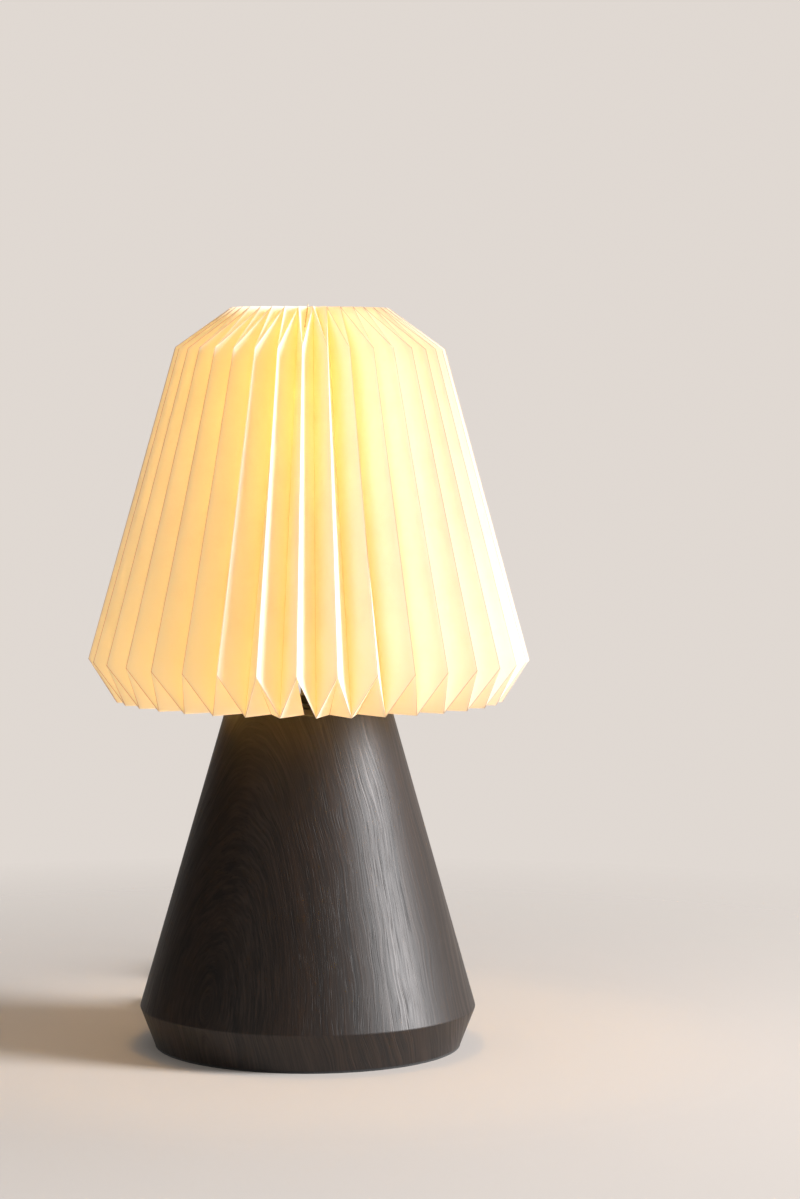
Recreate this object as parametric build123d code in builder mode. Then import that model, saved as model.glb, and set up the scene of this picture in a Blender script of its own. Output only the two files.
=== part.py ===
from build123d import *

import os
from math import cos, pi, radians, sin

# A table lamp: a turned wooden cone with a pleated paper shade over an E27 bulb.
# Millimetres, +Z up, origin on the standing surface under the lamp's axis.
# The shade's seam faces -Y and the mains cord leaves at +Y.

# Turned base
base_height = 204.6
base_top_radius = 49.8
base_edge_radius = 101.4
base_edge_height = 23.8
base_foot_radius = 92.7
top_edge_round = 1.2
wide_edge_round = 2.0
pad_thickness = 1.5
pad_inset = 0.4
recess_radius = 28.0
recess_depth = 40.0

# Threaded stem and its fittings
tube_radius = 5.0
tube_bore_radius = 3.5
tube_stub = 2.5
tube_engagement = 9.0
stem_show = 14.0
washer_radius = 20.0
washer_thickness = 2.0
lower_nut_height = 6.0
upper_nut_height = 5.0
nut_across_flats = 14.0
cover_radius = 17.0
cover_thickness = 2.5
thread_clearance = 0.1
bore_clearance = 0.25

# Lampholder
cap_height = 24.0
cap_neck_radius = 8.0
cap_neck_height = 5.0
cap_dome_height = 9.0
cap_wall = 2.2
skirt_radius = 19.5
skirt_height = 30.0
skirt_bore_radius = 14.6
core_radius = 16.6
core_height = 8.0
shell_bore_radius = 13.35
shell_wall = 0.55
shell_height = 27.0
spring_contact_radius = 3.5
spring_contact_height = 2.5
terminal_radius = 1.8
terminal_height = 4.0
terminal_spacing = 20.0

# Rings that hold the carrier on the lampholder
ring_clearance = 0.25
ring_outer_radius = 24.5
ring_height = 4.0
ring_rise = 12.0
seat_gap = 0.3

# Wire carrier of the shade
collar_outer_radius = 27.5
collar_thickness = 1.4
carrier_wire_radius = 1.5
carrier_arm_wire_radius = 1.2
carrier_ring_radius = 40.0
carrier_bend_radius = 8.0
carrier_arms = 3
carrier_first_arm = 90.0

# Pleated shade
pleats = 36
panels = 12
paper = 0.4
shade_lift_gap = 4.6
shade_height = 235.0
shoulder_drop = 24.4
corner_rise = 25.0
rim_top_radius = 47.2
rim_bottom_radius = 116.8
shoulder_radius = 80.8
corner_radius = 132.7
tuck_top_radius = 25.0
tuck_bottom_radius = 94.5
slit_left_shift = 2.4
slit_right_shift = 8.2
thread_hole_radius = 1.0
thread_hole_depth = 3.2
thread_hole_drop = 12.5
thread_radius = 0.25
thread_knot_radius = 0.8
thread_gap = 0.1
thread_hook = 0.8

# Bulb
bulb_contact_radius = 4.5
bulb_contact_height = 1.1
bulb_insulator_height = 3.5
bulb_cap_radius = 13.1
bulb_cap_height = 23.5
bulb_housing_radius = 20.5
bulb_housing_height = 32.5
bulb_globe_radius = 30.0
bulb_globe_wall = 1.0
bulb_board_radius = 17.0
bulb_board_thickness = 1.6
bulb_contact_gap = 0.3

# Mains cord and what is on it
cord_radius = 3.0
cord_fit = 0.1
cord_height = 12.0
lead_bend_radius = 18.0
stop_radius = 7.0
stop_length = 7.5
gland_radius = 6.0
gland_seat = 90.0
gland_stem_radius = 4.2
gland_stem_length = 12.0
gland_flange_end = 101.0
gland_sleeve_end = 127.0
gland_tip_radius = 3.9
floor_clearance = 0.05

coil_centre = (-52.0, 242.0)
coil_outer_radius = 44.0
coil_pitch = 7.8
coil_inward_half_turns = 6
coil_outward_half_turns = 5
coil_first_layer = 4.25
coil_layer_step = 6.8
tie_width = 5.0
tie_thickness = 0.8
tie_clearance = 0.3

switch_length = 60.0
switch_width = 24.0
switch_height = 17.6
switch_axis_height = 9.0
switch_wall = 2.0
switch_corner = 5.0
switch_edge_round = 1.5
switch_end_x = 14.5
switch_y = 305.0
rocker_length = 20.0
rocker_width = 9.0
rocker_height = 7.0
rocker_dip = 1.2
rocker_tilt = 9.0
rocker_clearance = 0.4
rocker_end_clearance = 1.2
rocker_rise = 1.6
pivot_radius = 1.2
pivot_reach = 2.0
pivot_fit = 0.15
screw_radius = 2.2
screw_height = 3.0
screw_spacing = 44.0
screw_slot = 0.8
screw_fit = 0.1

plug_x = -73.1
plug_start_y = 151.8
plug_turn = 18.0
plug_axis_height = 7.0
plug_lead = 14.0
plug_sleeve_length = 18.0
plug_sleeve_tip_radius = 4.0
plug_sleeve_root_radius = 5.6
plug_length = 36.0
plug_width = 35.3
plug_thickness = 13.7
plug_nose_width = 26.0
plug_shoulder = 9.0
plug_edge_round = 1.6
pin_radius = 2.0
pin_length = 19.0
pin_root_radius = 2.6
pin_root = 8.0
pin_spacing = 18.6

# Heights that follow from the sizes above
recess_top = pad_thickness + recess_depth
holder_bottom = base_height + cover_thickness + upper_nut_height + stem_show
cap_top = holder_bottom + cap_height
ring_inner_radius = skirt_radius + ring_clearance
lower_ring_top = cap_top + ring_rise + ring_height
collar_bottom = lower_ring_top + seat_gap
clamp_ring_bottom = collar_bottom + collar_thickness + seat_gap
core_bottom = cap_top - core_height
rim_bottom = base_height + shade_lift_gap
rim_top = rim_bottom + shade_height
shoulder_height = rim_top - shoulder_drop
corner_height = rim_bottom + corner_rise
bulb_bottom = cap_top + spring_contact_height + bulb_contact_gap
bulb_insulator_bottom = bulb_bottom + bulb_contact_height
bulb_cap_bottom = bulb_insulator_bottom + bulb_insulator_height
bulb_housing_bottom = bulb_cap_bottom + bulb_cap_height
bulb_globe_bottom = bulb_housing_bottom + bulb_housing_height
cord_floor = cord_radius + floor_clearance
pleat_step = 360 / pleats
panel_pleats = pleats // panels


def polar(radius, azimuth, height):
    """Point at a radius and height, its azimuth counted from the front, -Y, towards +X."""
    angle = radians(azimuth)
    return Vector(radius * sin(angle), -radius * cos(angle), height)


def save(part, name):
    part.label = name
    export_step(part, f"parts/{name}.step")


def ring_profile(inner, outer, bottom, height):
    """Rectangle in the radius-height plane, for a revolved ring."""
    with Locations((inner, bottom)):
        Rectangle(outer - inner, height, align=(Align.MIN, Align.MIN))


def cord_tube(points):
    """Tube along straight runs joined by tangent arcs, each as large as its two runs allow."""
    vectors = [Vector(*point) for point in points]
    runs = [b - a for a, b in zip(vectors, vectors[1:])]
    radii = []
    for before, after in zip(runs, runs[1:]):
        half_turn = radians(before.get_angle(after)) / 2
        radii.append(0.45 * min(before.length, after.length) / (sin(half_turn) / cos(half_turn)))
    with BuildPart() as tube:
        with BuildLine() as path:
            FilletPolyline(*points, radius=radii)
        with BuildSketch(Plane(origin=path.wire() @ 0, z_dir=path.wire() % 0)):
            Circle(cord_radius)
        sweep()
    length = path.wire().length
    print("arc radii", [round(radius, 1) for radius in radii], "length", round(length, 1),
          "volume ratio", round(tube.part.volume / (pi * cord_radius**2 * length), 4))
    return tube.part, length


os.makedirs("parts", exist_ok=True)

# ---------------------------------------------------------------- base

with BuildPart() as base_body:
    with BuildSketch(Plane.XZ) as base_profile:
        with BuildLine():
            Polyline(
                (0, pad_thickness),
                (base_foot_radius, pad_thickness),
                (base_edge_radius, base_edge_height),
                (base_top_radius, base_height),
                (0, base_height),
                close=True,
            )
        make_face()
        corners = base_profile.vertices().sort_by(Axis.X)
        fillet(corners[-1], radius=wide_edge_round)
        fillet(base_profile.vertices().group_by(Axis.Y)[-1].sort_by(Axis.X)[-1], radius=top_edge_round)
    revolve(axis=Axis.Z)
    with BuildSketch(Plane.XY.offset(pad_thickness)):
        Circle(recess_radius)
    extrude(amount=recess_depth, mode=Mode.SUBTRACT)
    with BuildSketch(Plane.XY.offset(pad_thickness)):
        Circle(tube_radius + bore_clearance)
    extrude(amount=base_height, mode=Mode.SUBTRACT)
    with BuildSketch(Plane(origin=(0, 0, cord_height), x_dir=(1, 0, 0), z_dir=(0, 1, 0))):
        Circle(gland_stem_radius + bore_clearance)
    extrude(amount=base_edge_radius, mode=Mode.SUBTRACT)
    with BuildSketch(Plane(origin=(0, gland_seat, cord_height), x_dir=(1, 0, 0), z_dir=(0, 1, 0))):
        Circle(gland_radius + bore_clearance)
    extrude(amount=base_edge_radius, mode=Mode.SUBTRACT)
save(base_body.part, "base_body")

with BuildPart() as foot_pad:
    with BuildSketch():
        Circle(base_foot_radius - pad_inset)
    extrude(amount=pad_thickness)
save(foot_pad.part, "foot_pad")

# ---------------------------------------------------------------- stem

lower_nut_top = recess_top - washer_thickness
tube_bottom = lower_nut_top - lower_nut_height - tube_stub
tube_top = holder_bottom + tube_engagement
upper_nut_bottom = base_height + cover_thickness

with BuildPart() as stem_tube:
    with BuildSketch(Plane.XY.offset(tube_bottom)):
        Circle(tube_radius)
        Circle(tube_bore_radius, mode=Mode.SUBTRACT)
    extrude(amount=tube_top - tube_bottom)
save(stem_tube.part, "stem_tube")

with BuildPart() as stem_washer:
    with BuildSketch(Plane.XY.offset(lower_nut_top)):
        Circle(washer_radius)
        Circle(tube_radius + thread_clearance, mode=Mode.SUBTRACT)
    extrude(amount=washer_thickness)
save(stem_washer.part, "stem_washer")

with BuildPart() as stem_cover:
    with BuildSketch(Plane.XY.offset(base_height)):
        Circle(cover_radius)
        Circle(tube_radius + thread_clearance, mode=Mode.SUBTRACT)
    extrude(amount=cover_thickness)
    fillet(stem_cover.edges().group_by(Axis.Z)[-1].sort_by(SortBy.LENGTH)[-1], radius=cover_thickness / 2)
save(stem_cover.part, "stem_cover")

for name, bottom, height in (
    ("stem_nut_lower", lower_nut_top - lower_nut_height, lower_nut_height),
    ("stem_nut_upper", upper_nut_bottom, upper_nut_height),
):
    with BuildPart() as nut:
        with BuildSketch(Plane.XY.offset(bottom)):
            RegularPolygon(nut_across_flats / 2, 6, major_radius=False)
            Circle(tube_radius + thread_clearance, mode=Mode.SUBTRACT)
        extrude(amount=height)
    save(nut.part, name)

# ---------------------------------------------------------------- lampholder

dome_top = holder_bottom + cap_neck_height + cap_dome_height

with BuildPart() as holder_cap:
    with BuildSketch(Plane.XZ):
        with BuildLine():
            Polyline((cap_neck_radius, holder_bottom + cap_neck_height), (cap_neck_radius, holder_bottom),
                     (tube_radius + thread_clearance, holder_bottom),
                     (tube_radius + thread_clearance, dome_top - cap_wall),
                     (skirt_radius - cap_wall, dome_top), (skirt_radius - cap_wall, cap_top),
                     (skirt_radius, cap_top), (skirt_radius, dome_top))
            ThreePointArc((skirt_radius, dome_top),
                          ((skirt_radius + cap_neck_radius) / 2 + cap_wall,
                           holder_bottom + cap_neck_height + cap_dome_height / 4),
                          (cap_neck_radius, holder_bottom + cap_neck_height))
        make_face()
    revolve(axis=Axis.Z)
save(holder_cap.part, "holder_cap")

with BuildPart() as holder_skirt:
    with BuildSketch(Plane.XZ):
        ring_profile(skirt_bore_radius, skirt_radius, cap_top, skirt_height)
    revolve(axis=Axis.Z)
    chamfer(holder_skirt.edges().group_by(Axis.Z)[-1].sort_by(SortBy.LENGTH)[-1], length=cap_wall / 2)
save(holder_skirt.part, "holder_skirt")

with BuildPart() as holder_core:
    with BuildSketch(Plane.XY.offset(core_bottom)):
        Circle(core_radius)
    extrude(amount=core_height)
    with BuildSketch(Plane.XY.offset(core_bottom)):
        with GridLocations(terminal_spacing, 0, 2, 1):
            Circle(terminal_radius)
    extrude(amount=terminal_height, mode=Mode.SUBTRACT)
save(holder_core.part, "holder_core")

with BuildPart() as holder_shell:
    with BuildSketch(Plane.XY.offset(cap_top)):
        Circle(shell_bore_radius + shell_wall)
        Circle(shell_bore_radius, mode=Mode.SUBTRACT)
    extrude(amount=shell_height)
save(holder_shell.part, "holder_shell")

with BuildPart() as holder_contact:
    with BuildSketch(Plane.XY.offset(cap_top)):
        Circle(spring_contact_radius)
    extrude(amount=spring_contact_height)
    fillet(holder_contact.edges().group_by(Axis.Z)[-1], radius=spring_contact_height / 3)
save(holder_contact.part, "holder_contact")

for number, x in enumerate((-terminal_spacing / 2, terminal_spacing / 2), start=1):
    with BuildPart() as terminal:
        with BuildSketch(Plane((x, 0, core_bottom))):
            Circle(terminal_radius - thread_clearance)
        extrude(amount=terminal_height)
    save(terminal.part, f"terminal_screw_{number}")

for name, bottom in (
    ("shade_ring_lower", lower_ring_top - ring_height),
    ("shade_ring_clamp", clamp_ring_bottom),
):
    with BuildPart() as holder_ring:
        with BuildSketch(Plane.XY.offset(bottom)):
            Circle(ring_outer_radius)
            Circle(ring_inner_radius, mode=Mode.SUBTRACT)
        extrude(amount=ring_height)
        fillet(holder_ring.edges().group_by(SortBy.LENGTH)[-1], radius=ring_height / 4)
    save(holder_ring.part, name)

# ---------------------------------------------------------------- pleated shade

# One half pleat: the fold line on the outside runs from shoulder to corner, the fold line on the
# inside from rim to rim, and a tuck closes each end of the pleat.
half_step = pleat_step / 2
shoulder = polar(shoulder_radius, 0, shoulder_height)
corner = polar(corner_radius, 0, corner_height)
tip_top = polar(rim_top_radius, half_step, rim_top)
tip_bottom = polar(rim_bottom_radius, half_step, rim_bottom)
tuck_top = polar(tuck_top_radius, 0, rim_top)
tuck_bottom = polar(tuck_bottom_radius, 0, rim_bottom)

fold_out = Vector(0, -1, 0)
rim_out = polar(1, half_step, 0)


def facing(normal, direction):
    """Unit normal, turned to the side that the direction points to."""
    return normal.normalized() * (1 if normal.dot(direction) > 0 else -1)


side_normal = facing((tip_top - corner).cross(tip_bottom - shoulder), fold_out)
top_normal = facing((tip_top - shoulder).cross(tuck_top - shoulder), Vector(0, 0, 1))
bottom_normal = facing((tip_bottom - corner).cross(tuck_bottom - corner), Vector(0, 0, -1))


def inset_fold(tuck_normal):
    """Step from a fold's outer point to its inner point, on the planes of side and tuck."""
    a, b = side_normal.dot(fold_out), side_normal.Z
    c, d = tuck_normal.dot(fold_out), tuck_normal.Z
    determinant = a * d - b * c
    return fold_out * (paper * (b - d) / determinant) + Vector(0, 0, paper * (c - a) / determinant)


shoulder_inset = inset_fold(top_normal)
corner_inset = inset_fold(bottom_normal)
tip_inset = paper / side_normal.dot(rim_out)
tuck_top_inset = paper / top_normal.dot(fold_out)
tuck_bottom_inset = paper / bottom_normal.dot(fold_out)


def skins(radius, inset, azimuth, height):
    """Outer and inner point of the paper at one place of a rim."""
    return polar(radius, azimuth, height), polar(radius - inset, azimuth, height)


def fold_in_skins(azimuth):
    """Ends of the fold line on the inside: outer and inner point at the top rim and at the bottom rim."""
    return (skins(rim_top_radius, tip_inset, azimuth, rim_top),
            skins(rim_bottom_radius, tip_inset, azimuth, rim_bottom))


def fold_skins(point, inset, azimuth):
    return point.rotate(Axis.Z, azimuth), (point + inset).rotate(Axis.Z, azimuth)


def slit_skins(shift, tip):
    """Outer and inner point of a free tuck edge beside the seam's slit."""
    outer = Vector(shift, -tuck_bottom_radius, rim_bottom)
    normal = facing((outer - corner).cross(tip - corner), Vector(0, 0, -1))
    level = Vector(normal.X, normal.Y, 0)
    return outer, outer - level * (paper / level.dot(level))


def facet(*points):
    return Face(Wire.make_polygon([Vector(*point) for point in points], close=True))


def sheet_facets(*pairs):
    """Outer and inner triangle of the paper between three pairs of points."""
    return [facet(*(pair[0] for pair in pairs)), facet(*(pair[1] for pair in pairs))]


def edge_facets(first, second):
    """Cut edge of the paper between two pairs of points, as two triangles."""
    return [facet(first[0], second[0], second[1]), facet(first[0], second[1], first[1])]


def pleat_faces(pleat):
    """Faces of one pleat: two sides, each with the half tuck at either end and its cut edges."""
    azimuth = pleat * pleat_step
    shoulder_pair = fold_skins(shoulder, shoulder_inset, azimuth)
    corner_pair = fold_skins(corner, corner_inset, azimuth)
    tuck_top_pair = skins(tuck_top_radius, tuck_top_inset, azimuth, rim_top)
    faces = []
    for side in (-1, 1):
        tip_top_pair, tip_bottom_pair = fold_in_skins(azimuth + side * half_step)
        tuck_bottom_pair = skins(tuck_bottom_radius, tuck_bottom_inset, azimuth, rim_bottom)
        if pleat == 0:
            shift = slit_left_shift if side < 0 else slit_right_shift
            tuck_bottom_pair = slit_skins(shift, tip_bottom_pair[0])
            faces += edge_facets(corner_pair, tuck_bottom_pair)
        faces += sheet_facets(shoulder_pair, corner_pair, tip_bottom_pair)
        faces += sheet_facets(shoulder_pair, tip_bottom_pair, tip_top_pair)
        faces += sheet_facets(shoulder_pair, tip_top_pair, tuck_top_pair)
        faces += sheet_facets(corner_pair, tip_bottom_pair, tuck_bottom_pair)
        faces += edge_facets(tip_top_pair, tuck_top_pair)
        faces += edge_facets(tip_bottom_pair, tuck_bottom_pair)
    return faces


crease = (tuck_top - shoulder).normalized()
crease_normal = Vector(0, -crease.Z, crease.Y)
crease_paper = paper / top_normal.dot(crease_normal)
hole_place = shoulder + (tuck_top - shoulder) * ((shoulder_drop - thread_hole_drop) / shoulder_drop)

# The sheet is one piece of paper, kept as panels of a few pleats that meet on inner folds.
# The first panel faces the front, with the seam's pleat in its middle.
for panel in range(panels):
    middle = panel * panel_pleats
    paper_faces = []
    for pleat in range(middle - panel_pleats // 2, middle + panel_pleats // 2 + 1):
        paper_faces += pleat_faces(pleat)
    for side in (-1, 1):
        paper_faces += edge_facets(*fold_in_skins((middle + side * panel_pleats / 2) * pleat_step))
    with BuildPart() as shade_panel:
        add(Solid(Shell(paper_faces)))
        if panel == 0:
            with Locations(Plane(origin=hole_place, z_dir=crease_normal)):
                Cylinder(thread_hole_radius, 2 * thread_hole_depth, mode=Mode.SUBTRACT)
    save(shade_panel.part, f"shade_panel_{panel + 1}")
print("half pleat width", round((tip_bottom - tuck_bottom).length, 1),
      "paper at the crease", round(crease_paper, 2), "facets per panel", len(paper_faces))

thread_above = crease_normal * ((thread_radius + thread_gap) / top_normal.dot(crease_normal))
thread_below = crease_normal * (crease_paper + thread_gap + thread_knot_radius)
thread_end = tuck_top + crease * (tuck_top_inset + thread_hook)
with BuildPart() as gathering_thread:
    with BuildLine() as thread_path:
        FilletPolyline(
            hole_place - thread_below,
            hole_place + thread_above,
            thread_end + thread_above,
            thread_end + thread_above - Vector(0, 0, 2 * thread_hook),
            radius=thread_radius * 2,
        )
    with BuildSketch(Plane(origin=thread_path.wire() @ 0, z_dir=thread_path.wire() % 0)):
        Circle(thread_radius)
    sweep()
    with Locations(hole_place - thread_below):
        Sphere(thread_knot_radius)
save(gathering_thread.part, "gathering_thread")

# ---------------------------------------------------------------- carrier

collar_middle = collar_bottom + collar_thickness / 2
crease_gap = crease_paper + seat_gap + carrier_wire_radius
crease_slope = shoulder_drop / (shoulder_radius - tuck_top_radius)
crease_at_ring = shoulder_height + (shoulder_radius - carrier_ring_radius) * crease_slope
carrier_ring_height = crease_at_ring - crease_gap / crease_normal.Z

with BuildPart() as carrier_collar:
    with BuildSketch(Plane.XY.offset(collar_bottom)):
        Circle(collar_outer_radius)
        Circle(skirt_radius + 2 * ring_clearance, mode=Mode.SUBTRACT)
    extrude(amount=collar_thickness)
save(carrier_collar.part, "carrier_collar")

with BuildPart() as carrier_top_ring:
    with BuildSketch(Plane.XZ):
        with Locations((carrier_ring_radius, carrier_ring_height)):
            Circle(carrier_wire_radius)
    revolve(axis=Axis.Z)
save(carrier_top_ring.part, "carrier_top_ring")

for arm in range(carrier_arms):
    with BuildPart() as carrier_arm:
        arm_plane = Plane.XZ.rotated((0, 0, carrier_first_arm + arm * 360 / carrier_arms))
        with BuildLine(arm_plane) as arm_path:
            FilletPolyline(
                (collar_outer_radius, collar_middle),
                (carrier_ring_radius, collar_middle),
                (carrier_ring_radius, carrier_ring_height - carrier_wire_radius),
                radius=carrier_bend_radius,
            )
        with BuildSketch(Plane(origin=arm_path.wire() @ 0, z_dir=arm_path.wire() % 0)):
            Circle(carrier_arm_wire_radius)
        sweep(path=arm_path.wire())
    save(carrier_arm.part, f"carrier_arm_{arm + 1}")

# ---------------------------------------------------------------- bulb

globe_centre = bulb_globe_bottom + (bulb_globe_radius**2 - (bulb_housing_radius - bulb_globe_wall)**2) ** 0.5

with BuildPart() as bulb_contact:
    with BuildSketch(Plane.XY.offset(bulb_bottom)):
        Circle(bulb_contact_radius)
    extrude(amount=bulb_contact_height)
save(bulb_contact.part, "bulb_contact")

with BuildPart() as bulb_insulator:
    with BuildSketch(Plane.XZ):
        with BuildLine():
            Polyline((0, bulb_insulator_bottom), (bulb_contact_radius, bulb_insulator_bottom),
                     (bulb_cap_radius, bulb_cap_bottom), (0, bulb_cap_bottom), close=True)
        make_face()
    revolve(axis=Axis.Z)
save(bulb_insulator.part, "bulb_insulator")

with BuildPart() as bulb_cap:
    with BuildSketch(Plane.XY.offset(bulb_cap_bottom)):
        Circle(bulb_cap_radius)
    extrude(amount=bulb_cap_height)
save(bulb_cap.part, "bulb_cap")

with BuildPart() as bulb_housing:
    with BuildSketch(Plane.XZ):
        with BuildLine():
            Polyline((bulb_housing_radius, bulb_globe_bottom), (0, bulb_globe_bottom),
                     (0, bulb_housing_bottom), (bulb_cap_radius, bulb_housing_bottom))
            Spline((bulb_cap_radius, bulb_housing_bottom), (bulb_housing_radius, bulb_globe_bottom),
                   tangents=((0.3, 1), (0.25, 1)))
        make_face()
    revolve(axis=Axis.Z)
save(bulb_housing.part, "bulb_housing")

with BuildPart() as bulb_board:
    with BuildSketch(Plane.XY.offset(bulb_globe_bottom)):
        Circle(bulb_board_radius)
    extrude(amount=bulb_board_thickness)
save(bulb_board.part, "bulb_board")

with BuildPart() as bulb_globe:
    with Locations((0, 0, globe_centre)):
        Sphere(bulb_globe_radius)
        Sphere(bulb_globe_radius - bulb_globe_wall, mode=Mode.SUBTRACT)
    split(bisect_by=Plane.XY.offset(bulb_globe_bottom), keep=Keep.TOP)
save(bulb_globe.part, "bulb_globe")

# ---------------------------------------------------------------- cord inside the base

with BuildPart() as inner_cord:
    with BuildLine() as lead_path:
        FilletPolyline((0, 0, core_bottom), (0, 0, cord_height), (0, gland_sleeve_end, cord_height),
                       radius=lead_bend_radius)
    with BuildSketch(Plane(origin=lead_path.wire() @ 0, z_dir=lead_path.wire() % 0)):
        Circle(cord_radius)
    sweep()
save(inner_cord.part, "inner_cord")

with BuildPart() as cord_stop:
    with BuildSketch(Plane(origin=(0, lead_bend_radius + cord_fit, cord_height), z_dir=(0, 1, 0))):
        Circle(stop_radius)
        Circle(cord_radius + cord_fit, mode=Mode.SUBTRACT)
    extrude(amount=stop_length)
save(cord_stop.part, "cord_stop")

with BuildPart() as cord_gland:
    with BuildSketch(Plane.YZ):
        with BuildLine():
            Polyline(
                (gland_seat - gland_stem_length, cord_height + cord_radius + cord_fit),
                (gland_seat - gland_stem_length, cord_height + gland_stem_radius),
                (gland_seat, cord_height + gland_stem_radius),
                (gland_seat, cord_height + gland_radius),
                (gland_flange_end, cord_height + gland_radius),
                (gland_sleeve_end, cord_height + gland_tip_radius),
                (gland_sleeve_end, cord_height + cord_radius + cord_fit),
                close=True,
            )
        make_face()
    revolve(axis=Axis((0, 0, cord_height), (0, 1, 0)))
save(cord_gland.part, "cord_gland")

# ---------------------------------------------------------------- cord on the surface

switch_far_x = switch_end_x - switch_length
coil_entry_x = coil_centre[0] - coil_outer_radius
coil_end_run = 2 * cord_radius
coil_inner_radius = coil_outer_radius - coil_inward_half_turns * coil_pitch / 2
coil_exit_radius = coil_inner_radius + coil_outward_half_turns * coil_pitch / 2
coil_exit_x = coil_centre[0] - coil_exit_radius
coil_second_layer = coil_first_layer + coil_layer_step

mains_cord, mains_length = cord_tube([
    (0, gland_sleeve_end, cord_height), (0, 150, cord_height), (8, 176, 6), (28, 198, cord_floor),
    (54, 212, cord_floor), (76, 230, cord_floor), (82, 256, cord_floor), (75.5, 280, cord_floor),
    (58.5, 297, 4.5), (36.5, switch_y, switch_axis_height), (switch_end_x, switch_y, switch_axis_height),
])
save(mains_cord, "mains_cord")

switch_cord, switch_cord_length = cord_tube([
    (switch_far_x, switch_y, switch_axis_height), (-65.5, switch_y, switch_axis_height), (-85, 295, 6),
    (coil_entry_x, 276, coil_first_layer), (coil_entry_x, coil_centre[1] + coil_end_run, coil_first_layer),
])
save(switch_cord, "switch_cord")

plug_cord, plug_cord_length = cord_tube([
    (coil_exit_x, coil_centre[1] - coil_end_run, coil_second_layer), (coil_exit_x, 216, coil_second_layer),
    (-86.2, 202.2, 8.6), (-75.4, 191.8, 6), (-69.6, 179.1, 5.2),
    (plug_x + plug_lead * sin(radians(plug_turn)), plug_start_y + plug_lead * cos(radians(plug_turn)),
     plug_axis_height), (plug_x, plug_start_y, plug_axis_height),
])
save(plug_cord, "plug_cord")

# Half turns of the coil: radius and height at each, inwards on the lower layer, then out on the upper.
coil_stations = [(coil_outer_radius - half * coil_pitch / 2, coil_first_layer)
                 for half in range(coil_inward_half_turns + 1)]
coil_stations += [(coil_inner_radius + half * coil_pitch / 2, coil_second_layer)
                  for half in range(coil_outward_half_turns + 1)]


def coil_point(half, radius, height):
    """Station after a number of half turns, which run anticlockwise from the -X side."""
    side = -1 if half % 2 == 0 else 1
    return Vector(coil_centre[0] + side * radius, coil_centre[1], height)


def coil_heading(half):
    return Vector(0, -1 if half % 2 == 0 else 1, 0)


with BuildPart() as cord_coil:
    with BuildLine() as coil_path:
        first = coil_point(0, *coil_stations[0])
        Line(first - coil_heading(0) * coil_end_run, first)
        for half in range(len(coil_stations) - 1):
            start = coil_point(half, *coil_stations[half])
            end = coil_point(half + 1, *coil_stations[half + 1])
            reach = (end - start).length / 2
            ahead = start + coil_heading(half) * reach
            behind = end - coil_heading(half + 1) * reach
            middle = (ahead + behind) * 0.5
            TangentArc(start, middle, tangent=coil_heading(half))
            TangentArc(middle, end, tangent=behind - ahead)
        last_half = len(coil_stations) - 1
        last = coil_point(last_half, *coil_stations[-1])
        Line(last, last + coil_heading(last_half) * coil_end_run)
    with BuildSketch(Plane(origin=coil_path.wire() @ 0, z_dir=coil_path.wire() % 0)):
        Circle(cord_radius)
    sweep()
save(cord_coil.part, "cord_coil")

coil_length = coil_path.wire().length
coil_samples = int(coil_length / 3)
coil_points = [coil_path.wire() @ (index / coil_samples) for index in range(coil_samples + 1)]
skipped = int(8 * cord_radius / 3)
least_gap = min(
    (coil_points[i] - coil_points[j]).length
    for i in range(len(coil_points)) for j in range(i + skipped, len(coil_points))
) - 2 * cord_radius
print("coil length", round(coil_length, 1), "least gap to itself", round(least_gap, 2),
      "volume ratio", round(cord_coil.part.volume / (pi * cord_radius**2 * coil_length), 4))
print("cord outside the base", round(mains_length + switch_length + switch_cord_length
                                     + coil_length + plug_cord_length, 0))

# Band round the coil at its +X side, where the turns lie between these two radii.
band_inner = coil_inner_radius - cord_radius - tie_clearance
band_outer = coil_outer_radius - coil_pitch / 2 + cord_radius + tie_clearance
band_bottom = coil_first_layer - cord_radius - tie_clearance
band_top = coil_second_layer + cord_radius + tie_clearance
with BuildPart() as cord_tie:
    with BuildSketch(Plane(origin=(coil_centre[0], coil_centre[1] + tie_width / 2, 0),
                           x_dir=(1, 0, 0), z_dir=(0, -1, 0))):
        with Locations(((band_inner + band_outer) / 2, (band_bottom + band_top) / 2)):
            RectangleRounded(band_outer - band_inner + 2 * tie_thickness,
                             band_top - band_bottom + 2 * tie_thickness, 2 * tie_thickness)
            RectangleRounded(band_outer - band_inner, band_top - band_bottom, tie_thickness,
                             mode=Mode.SUBTRACT)
    extrude(amount=tie_width)
save(cord_tie.part, "cord_tie")

# ---------------------------------------------------------------- switch in the cord

switch_x = switch_end_x - switch_length / 2
switch_bottom = switch_axis_height - switch_height / 2
window_length = rocker_length + 2 * rocker_end_clearance
window_width = rocker_width + 2 * rocker_clearance
pivot_height = switch_bottom + switch_height + rocker_rise - rocker_height


def switch_half(bottom, height, outer_selector):
    """Half of the housing: a rounded slab with a cavity left open at the parting face."""
    with BuildPart() as half:
        with BuildSketch(Plane((switch_x, switch_y, bottom))):
            RectangleRounded(switch_length, switch_width, switch_corner)
        extrude(amount=height)
        fillet(outer_selector(half), radius=switch_edge_round)
    return half.part


lower_shell = switch_half(
    switch_bottom, switch_height / 2, lambda half: half.edges().group_by(Axis.Z)[0])
upper_shell = switch_half(
    switch_axis_height, switch_height / 2, lambda half: half.edges().group_by(Axis.Z)[-1])
rocker_axis_height = pivot_height + rocker_height / 2
pivot_length = window_width + 2 * pivot_reach

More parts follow.
